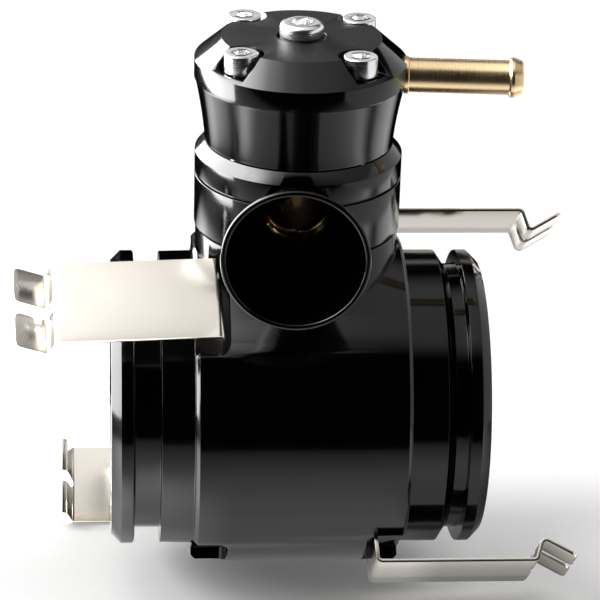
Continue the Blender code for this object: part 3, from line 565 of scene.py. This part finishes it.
def make_cap_screw(name, matrix):
    top, under, tip = 83.4, 79.4, 51.4
    profile = [
        (0, top), (3.5, top, 0.3), (3.5, under, 0.12), (1.95, under, 0.2), (1.95, tip + 0.5, 0.1), (1.4, tip),
        (0, tip),
    ]
    screw = turned(name, rounded(profile, 0.2), 96, matrix)
    combine(screw, [prism("key", 6, hexagon(3.0), top - 2.2, top + 1, matrix, radians(12))])
    edge_bevel(screw, 0.08)
    return smooth(screw)


def make_centre_screw():
    under, top, tip = 83.4, 86.3, 72.8
    cap_r, crown = 4.6, 1.3
    profile = [(0, top)] + arc(cap_r - crown, top - crown, crown, 90, 0, 10)
    profile += [(cap_r, under + 0.15), (4.45, under), (2.8, under), (2.8, tip + 0.4), (2.4, tip), (0, tip)]
    screw = turned("centre_cap", profile, 128, VALVE)
    combine(screw, [prism("key", 6, hexagon(4.0), top - 2.0, top + 1, VALVE, radians(8))])
    edge_bevel(screw, 0.1)
    return smooth(screw)


def make_ring(name, major, minor, height):
    return smooth(turned(name, arc(major, height, minor, 90, -250, 17), 128, VALVE, closed=True), 60)


def make_retainer(name, angle):
    outer = 21.0
    profile = [
        (0, outer), (1.75, outer, 0.25), (1.75, 17.5, 0.1), (1.0, 17.5, 0.1), (1.0, 16.1, 0.1), (0, 16.1),
    ]
    matrix = retainer_frame(angle)
    screw = turned(name, rounded(profile, 0.1), 64, matrix)
    combine(screw, [prism("key", 6, hexagon(2.0), outer - 2, outer + 1, matrix)])
    edge_bevel(screw, 0.06)
    return smooth(screw)


def make_nipple():
    tip, bead = 46.5, 43.6
    profile = [
        (2.1, tip, 0.1), (3.25, tip, 0.15), (3.6, tip - 0.35, 0.1), (4.2, bead + 0.97, 0.25),
        (4.2, bead + 0.35, 0.2), (3.85, bead, 0.15), (3.6, bead, 0.15), (3.6, 22.55, 0.2),
        (3.95, 22.55, 0.15), (3.95, 21.65, 0.1), (2.4, 21.65, 0.1), (2.4, 15.6, 0.2), (1.6, 15.6, 0.1),
        (1.6, tip - 0.5, 0.1),
    ]
    return smooth(turned("hose_tail", rounded(profile, 0.1, closed=True), 96, NIPPLE, closed=True))


def bent(corners, radius, count):
    """Rounds the inner corners of an open outline with arcs."""
    points = [Vector(corners[0])]
    for before, here, after in zip(corners, corners[1:], corners[2:]):
        p = Vector(here)
        into = (Vector(before) - p).normalized()
        out = (Vector(after) - p).normalized()
        half = into.angle(out) / 2
        centre = p + (into + out).normalized() * radius / sin(half)
        start = p + into * radius / tan(half) - centre
        sweep = start.angle_signed(p + out * radius / tan(half) - centre)
        for i in range(count + 1):
            a = -sweep * i / count
            x = start.x * cos(a) - start.y * sin(a)
            y = start.x * sin(a) + start.y * cos(a)
            points.append(centre + Vector((x, y)))
    points.append(Vector(corners[-1]))
    return points


def round_tips(clip, start, radius):
    """Rounds the corners of a clip's fingers, which lie past the start, in mm."""
    bm = bmesh.new()
    bm.from_mesh(clip.data)
    tips = []
    for edge in bm.edges:
        first, second = (v.co / MM for v in edge.verts)
        if min(first.x, second.x) > start and abs(first.y - second.y) < 0.01:
            tips.append(edge)
    bmesh.ops.bevel(bm, geom=tips, offset=radius * MM, segments=8, profile=0.5, affect="EDGES")
    bm.to_mesh(clip.data)
    bm.free()


def make_clip(name, side, angle, skew, slide):
    sheet, width, radius = 0.75, 19.3, 39.6
    drop = radius - POCKET_FLOOR - GAP
    corners = [(16.5, -drop), (CLIP_STRAP_IN, 0), (51.2, 0), (52.7, -4.8), (59.9, -0.7)]
    path = bent(corners, 1.0, 8)
    sides = []
    for i, p in enumerate(path):
        along = (path[min(i + 1, len(path) - 1)] - path[max(i - 1, 0)]).normalized()
        normal = Vector((-along.y, along.x))
        sides.append((p + normal * sheet / 2, p - normal * sheet / 2))
    outline = [a for a, b in sides] + [b for a, b in reversed(sides)]
    bm = bmesh.new()
    left = [bm.verts.new((p.x * MM, -width / 2 * MM, (radius + p.y) * MM)) for p in outline]
    right = [bm.verts.new((p.x * MM, width / 2 * MM, (radius + p.y) * MM)) for p in outline]
    size = len(outline)
    for i in range(size):
        n = (i + 1) % size
        bm.faces.new((left[i], left[n], right[n], right[i]))
    half = size // 2
    for row in (left, right):
        for i in range(half - 1):
            bm.faces.new((row[i], row[i + 1], row[size - 2 - i], row[size - 1 - i]))
    bmesh.ops.recalc_face_normals(bm, faces=bm.faces)
    mesh = bpy.data.meshes.new(name)
    bm.to_mesh(mesh)
    bm.free()
    matrix = clip_frame(side, angle, skew, slide)
    clip = add_object(name, mesh, matrix)
    slot_start = 50.8
    length = 64.9 - slot_start
    combine(clip, [block("slot", (length, 2.8, 28), (slot_start + length / 2, 0, radius), 1.2, matrix)])
    round_tips(clip, 59.3, 1.5)
    edge_bevel(clip, 0.1)
    return smooth(clip)


dress(make_adaptor(), "valve", BLACK, "black_anodise", "adaptor_body")
dress(make_valve_body(), "valve", GREY, "grey_anodise", "valve_body")
head = dress(make_head(), "valve", GREY, "grey_anodise", "head")
head.data.materials.append(FACE)
for polygon in head.data.polygons:
    height = (head.matrix_world @ polygon.center).z / MM - AXIS_Z
    if polygon.normal.z > 0.99 and height > HEAD_TOP - 0.1:
        polygon.material_index = 1
dress(make_horn(), "valve", HORN_BLACK, "trumpet_anodise", "trumpet")
dress(make_piston(), "piston", BRASS, "brass", "piston")
coil = dress(make_coil(), "valve", WIRE, "spring_wire", "piston_spring")
dress(make_centre_screw(), "valve", SCREW, "screw_steel", "centre_screw")
dress(make_ring("centre_seal", 4.0, 0.6, 82.5), "valve", RUBBER, "rubber", "centre_screw_ring")
for i in range(HEAD_SCREWS):
    screw = make_cap_screw(f"cap_screw_{i + 1}", screw_frame(i))
    dress(screw, "valve", SCREW, "screw_steel", f"head_screw_{i + 1}")
for hand, angle in (("left", RETAINER_TURN), ("right", -RETAINER_TURN)):
    screw = make_retainer(f"set_screw_{hand}", angle)
    dress(screw, "valve", SCREW, "screw_steel", f"retaining_screw_{hand}")
dress(make_nipple(), "valve", NIPPLE_BRASS, "nipple_brass", "hose_nipple")
for name, *place in (
    ("left_front", -1, CLIP_ANGLE, CLIP_SKEW, 0), ("left_rear", -1, pi + CLIP_ANGLE, 0, CLIP_LEFT_REAR_SLIDE),
    ("right_rear", 1, pi - CLIP_ANGLE, 0, 0), ("right_front", 1, CLIP_RIGHT_FRONT_ANGLE, 0, 0),
):
    dress(make_clip(f"spring_clip_{name}", *place), "valve", CLIP, "clip_steel", f"clip_{name}")
for node, material in (
    ("spring_seat", SCREW), ("piston_ring", RUBBER), ("head_ring", RUBBER), ("base_ring", RUBBER),
):
    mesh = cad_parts[node].data
    if len(mesh.materials):
        for k in range(len(mesh.materials)):
            mesh.materials[k] = material
    else:
        mesh.materials.append(material)
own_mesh(coil)

# Studio

def only_mirrored(obj):
    """Keeps a stage piece out of everything but reflections."""
    obj.visible_camera = False
    obj.visible_diffuse = False
    obj.visible_shadow = False
    obj.visible_transmission = False
    obj.visible_volume_scatter = False


def card(name, corners):
    """A flat panel given by its corners in mm, and the nodes of its light."""
    mesh = bpy.data.meshes.new(name)
    mesh.from_pydata([Vector(c) * MM for c in corners], [], [tuple(range(len(corners)))])
    n = Nodes(name)
    light = n.add("ShaderNodeEmission")
    n.link(light.outputs[0], n.tree.nodes["Material Output"].inputs["Surface"])
    n.tree.nodes.remove(n.shader)
    n.shader = light
    mesh.materials.append(n.material)
    only_mirrored(add_object(name, mesh, Matrix.Identity(4)))
    return n


def wall(name, first, second, low, high, strength):
    """An even upright panel over the line between two floor points, in mm."""
    corners = [(*first, low), (*second, low), (*second, high), (*first, high)]
    card(name, corners).set(Strength=strength)


def level_square(half, height):
    return [(-half, -half, height), (half, -half, height), (half, half, height), (-half, half, height)]


def painted_reflection_card():
    """A card seen only in reflections whose glow is a painted floor reflection: painted dark reflection in
    front, painted bright reflection under the part and to its left.
    """
    n = card("painted_reflection_card", level_square(CARD_HALF, CARD_RISE))
    split = n.add("ShaderNodeSeparateXYZ")
    n.link(n.add("ShaderNodeTexCoord").outputs["Object"], split.inputs[0])
    x, y, z = split.outputs
    depth = n.ramp(n.span(y, *DEPTH_SPAN, 0, 1), PAINTED_DEPTH_LEVELS, DEPTH_TOP)
    side = n.ramp(n.span(x, *SIDE_SPAN, 0, 1), PAINTED_SIDE_LEVELS, SIDE_TOP)
    near = n.ease(y, *SIDE_FADE, 0, 1)
    side = n.math("ADD", n.math("MULTIPLY", n.math("SUBTRACT", side, 1.0), near), 1.0)
    n.link(n.math("MULTIPLY", depth, side), n.shader.inputs["Strength"])


def make_floor():
    """A large white floor, slightly lifted where the camera or a reflection sees it."""
    mesh = bpy.data.meshes.new("floor")
    mesh.from_pydata(level_square(FLOOR_HALF, 0), [], [(0, 1, 2, 3)])
    n = Nodes("floor_white")
    n.set(Roughness=0.6, Specular_IOR_Level=0.1)
    n.shader.inputs["Base Color"].default_value = (FLOOR_TONE, FLOOR_TONE, FLOOR_TONE, 1)
    path = n.add("ShaderNodeLightPath")
    seen = n.math("MAXIMUM", path.outputs["Is Camera Ray"], path.outputs["Is Glossy Ray"])
    seen = n.math("MAXIMUM", seen, path.outputs["Is Transmission Ray"])
    n.link(n.math("MULTIPLY", seen, FLOOR_LIFT), n.shader.inputs["Emission Strength"])
    n.shader.inputs["Emission Color"].default_value = WHITE
    mesh.materials.append(n.material)
    add_object("floor", mesh, Matrix.Identity(4))


class WorldNodes(Nodes):
    """The same short hand for the world's node tree."""

    def __init__(self, world):
        world.use_nodes = True
        self.tree = world.node_tree
        self.shader = self.tree.nodes["Background"]


def make_world():
    """A white background, and for reflections a long overhead light that brightens to the left."""
    world = bpy.data.worlds.new("studio")
    bpy.context.scene.world = world
    n = WorldNodes(world)
    split = n.add("ShaderNodeSeparateXYZ")
    n.link(n.add("ShaderNodeTexCoord").outputs["Generated"], split.inputs[0])
    x, y, z = split.outputs
    over = n.math("ARCTAN2", z, n.math("MULTIPLY", y, -1.0))
    band = n.math("MULTIPLY", n.ease(over, *OVERHEAD_RISE, 0, 1), n.ease(over, *OVERHEAD_FALL, 1, 0))
    across = n.span(x, -1, 1, 0, 1)
    overhead = n.math("MULTIPLY", band, n.ramp(across, OVERHEAD_ACROSS, OVERHEAD_TOP))
    back = n.ease(over, *BACK_RISE, DARK, 1)
    mirrored = n.math("MAXIMUM", overhead, back)
    soft = n.math("MULTIPLY", n.ease(over, *SOFT_RISE, *SOFT_LEVELS), n.span(across, 0, 1, *SOFT_ACROSS))
    path = n.add("ShaderNodeLightPath")
    glossy = path.outputs["Is Glossy Ray"]
    plain = n.math("MAXIMUM", path.outputs["Is Camera Ray"], path.outputs["Is Transmission Ray"])
    in_mirrors = n.math("MULTIPLY", glossy, mirrored)
    elsewhere = n.math("MULTIPLY", n.math("SUBTRACT", 1.0, glossy), soft)
    level = n.math("MAXIMUM", n.math("ADD", in_mirrors, elsewhere), plain)
    n.link(level, n.shader.inputs["Strength"])
    n.shader.inputs["Color"].default_value = WHITE


def sun(name, towards, angle, strength):
    """A distant soft lamp, seen in no reflection."""
    data = bpy.data.lights.new(name, "SUN")
    data.angle = radians(angle)
    data.energy = strength
    turn = Vector(towards).to_track_quat("Z", "Y").to_matrix().to_4x4()
    add_object(name, data, turn).visible_glossy = False


def spot(name, place, aim, reach, power):
    """A narrow lamp that lights a circle of a radius in mm round its aim."""
    data = bpy.data.lights.new(name, "SPOT")
    place, aim = Vector(place) * MM, Vector(aim) * MM
    data.spot_size = 2 * atan(reach * MM / (place - aim).length)
    data.spot_blend = 0.3
    data.shadow_soft_size = 0.01
    data.energy = power
    turn = (place - aim).to_track_quat("Z", "Y").to_matrix().to_4x4()
    add_object(name, data, Matrix.Translation(place) @ turn)


WHITE = (1, 1, 1, 1)
FLOOR_HALF = 4.0  # metres
FLOOR_TONE, FLOOR_LIFT = 0.88, 0.09

# Angles over the part, from the front's horizon at 0 to the back's at 180 degrees
OVERHEAD_RISE = (radians(52), radians(72))
OVERHEAD_FALL = (radians(112), radians(140))
BACK_RISE = (radians(150), radians(158))
SOFT_RISE = (radians(50), radians(125))
DARK = 0.005
SOFT_LEVELS = (0.04, 0.95)
SOFT_ACROSS = (1.35, 0.68)  # left to right
OVERHEAD_TOP = 17.0
OVERHEAD_ACROSS = (
    (0, 17.0), (0.2, 17.0), (0.31, 4.8), (0.41, 1.8), (0.53, 1.02), (0.66, 0.85), (0.8, 0.5), (1, 0.3),
)

# The painted floor reflection's size in mm, its spans in metres, and its levels from front to back and left
# to right: painted dark reflection in front, painted bright reflection under the part and to its left
CARD_HALF, CARD_RISE = 3900, 0.4
DEPTH_SPAN, SIDE_SPAN, SIDE_FADE = (-0.3, 0.3), (-0.25, 0.15), (-0.085, -0.04)
DEPTH_TOP, SIDE_TOP = 2.0, 5.0
PAINTED_DEPTH_LEVELS = (
    (0, 0.0), (0.08, 0.0), (0.173, 0.43), (0.303, 0.9), (0.36, 1.37), (0.413, 1.64), (0.437, 1.45),
    (0.467, 0.6), (0.495, 0.18), (0.52, 0.35), (0.55, 0.85), (0.6, 1.2), (0.69, 1.2), (0.8, 0.0), (1, 0.0),
)
PAINTED_SIDE_LEVELS = (
    (0.1, 0.4), (0.15, 0.8), (0.2125, 3.0), (0.25, 4.2), (0.35, 4.8), (0.475, 5.0), (0.5125, 3.6),
    (0.5425, 2.2), (0.565, 1.7), (0.59, 1.0), (0.6875, 1.0), (0.705, 0.65), (0.8, 0.65), (0.875, 1.5),
    (1, 1.6),
)
make_floor()
make_world()
sun("key", (-0.86, 0.1, 0.42), 30, 3.1)
sun("fill", (0.8, 0.4, 0.45), 40, 1.2)
spot("trumpet_light", (20, -600, 90), (0, -8, AXIS_Z + TRUMPET_Z), 5.5, 2.0)
wall("left_panel", (-210, -50), (-210, 700), 27, 330, 20.0)
wall("right_panel", (230, -240), (230, 260), 0, 250, 0.9)
wall("back_flag", (-250, 400), (250, 400), 5, 228, 0.0)
# A card whose glow paints the floor's reflection in the part: painted dark reflection in front, painted
# bright reflection under and left of it
painted_reflection_card()

# Camera, at the photograph's angle: distance in pixels, pixels to 1 mm, aim, turns and centre
D_PX, SCALE, FIT_X = 2855.9, 4.55, 0.857
AZ, EL, ROLL = radians(4.6), radians(26), radians(1.7)
U0, V0, CENTRE_PX, PHOTO_PX = 295.0, 395.4, 300.0, 600
SENSOR = 36


def make_camera():
    """The fitted camera, turned so that the picture needs no lens shift."""
    out = Vector((-sin(AZ) * cos(EL), -cos(AZ) * cos(EL), sin(EL)))
    look = -out
    right = Vector((cos(AZ), -sin(AZ), 0))
    up = right.cross(look)
    side = right * cos(ROLL) + up * sin(ROLL)
    top = -right * sin(ROLL) + up * cos(ROLL)
    off_x, off_y = (U0 - CENTRE_PX) / D_PX, -(V0 - CENTRE_PX) / D_PX
    yaw = atan(off_x)
    ahead = look * cos(yaw) - side * sin(yaw)
    x_axis = side * cos(yaw) + look * sin(yaw)
    pitch = atan(off_y * cos(yaw))
    z_axis = ahead * cos(pitch) - top * sin(pitch)
    y_axis = top * cos(pitch) + ahead * sin(pitch)
    data = bpy.data.cameras.new("camera")
    data.sensor_width = SENSOR
    data.sensor_fit = "HORIZONTAL"
    data.lens = D_PX * cos(atan(hypot(off_x, off_y))) / PHOTO_PX * SENSOR
    data.clip_start = 0.01
    data.clip_end = 20
    place = out * (D_PX / SCALE) + Vector((AXIS_X + FIT_X, AXIS_Y, AXIS_Z))
    turn = Matrix((x_axis, y_axis, -z_axis)).transposed().to_4x4()
    bpy.context.scene.camera = add_object("camera", data, Matrix.Translation(place * MM) @ turn)


make_camera()
bpy.context.scene.view_settings.view_transform = "Standard"
